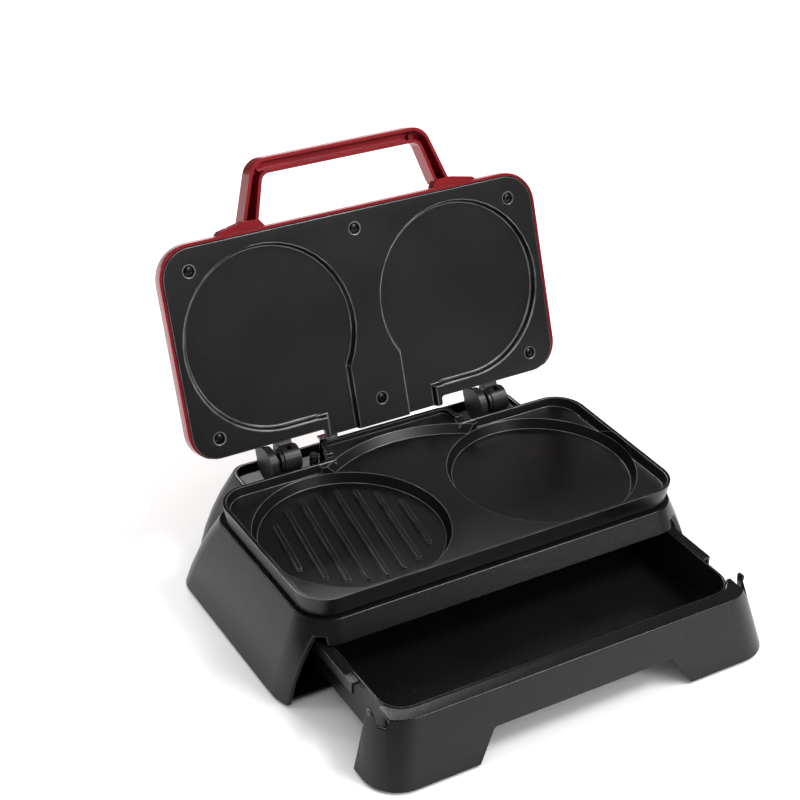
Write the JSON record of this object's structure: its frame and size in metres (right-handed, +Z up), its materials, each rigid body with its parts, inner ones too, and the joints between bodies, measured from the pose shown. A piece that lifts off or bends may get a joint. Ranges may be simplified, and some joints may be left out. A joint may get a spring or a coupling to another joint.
{
  "type": "breakfast maker",
  "caption": "Electric breakfast maker: round pans under a hinged lid that stands open, and a shallow bread drawer that slides out of the base below them.",
  "frame": {"origin": "on the table, under the centre of the box round the part with its lid open and its drawer pulled out as at rest", "axes": "+X to the user's right along the hinge line, -Y towards the user, +Z up"},
  "size_m": [0.32, 0.3366, 0.2637],
  "materials": {
    "shell_black": "satin",
    "plate_coating": "non-stick coating, satin",
    "lid_red": "glossy metallic red lacquer",
    "hinge_black": "satin",
    "screw_black": "blackened",
    "steel": "plain",
    "element_sheath": "heat-darkened",
    "rubber_black": "matt",
    "ceramic_white": "matt",
    "lens_red": "translucent",
    "lens_green": "translucent"
  },
  "bodies": {
    "base": {"base_shell": "shell_black", "bottom_cover": "shell_black", "drawer_guide_left": "shell_black", "drawer_guide_right": "shell_black", "lower_plate": "plate_coating", "heat_liner": "steel", "lower_heating_element": "element_sheath", "element_strap_left": "steel", "element_strap_right": "steel", "strap_screw_left": "steel", "strap_screw_right": "steel", "thermostat": "ceramic_white", "thermal_fuse": "steel", "terminal_block": "ceramic_white", "foot_front_left": "rubber_black", "foot_front_right": "rubber_black", "foot_rear_left": "rubber_black", "foot_rear_right": "rubber_black", "hinge_bracket_left": "hinge_black", "hinge_bracket_right": "hinge_black", "hinge_pin_left": "steel", "hinge_pin_right": "steel", "wire_sleeve": "rubber_black", "plate_rear_tab": "steel", "cord_gland": "rubber_black", "plate_screw_front_left": "screw_black", "plate_screw_front_right": "screw_black", "plate_screw_rear_left": "screw_black", "plate_screw_rear_right": "screw_black", "cover_screw_front_left": "screw_black", "cover_screw_front_right": "screw_black", "cover_screw_rear_left": "screw_black", "cover_screw_rear_right": "screw_black"},
    "lid": {"lid_shell": "lid_red", "lid_handle": "lid_red", "handle_screw_left": "steel", "handle_screw_right": "steel", "upper_plate": "plate_coating", "lid_screw_front_left": "screw_black", "lid_screw_front_middle": "screw_black", "lid_screw_front_right": "screw_black", "lid_screw_rear_left": "screw_black", "lid_screw_rear_middle": "screw_black", "lid_screw_rear_right": "screw_black", "upper_heating_element": "element_sheath", "upper_reflector": "steel", "hinge_arm_left": "hinge_black", "hinge_arm_right": "hinge_black", "power_lens": "lens_red", "ready_lens": "lens_green"},
    "drawer": {"drawer_front": "shell_black", "drawer_tray": "shell_black", "drawer_rail_left": "shell_black", "drawer_rail_right": "shell_black", "drawer_screw_left": "screw_black", "drawer_screw_right": "screw_black"}
  },
  "joints": [
    {"name": "lid_hinge", "type": "hinge", "parent": "base", "child": "lid", "pos_m": [0, 0.08536, 0.0747], "axis": [1, 0, 0], "range_deg": [0, 110.2]},
    {"name": "drawer_slide", "type": "slide", "parent": "base", "child": "drawer", "axis": [0, 1, 0], "range_m": [-0.02, 0.0682]}
  ]
}
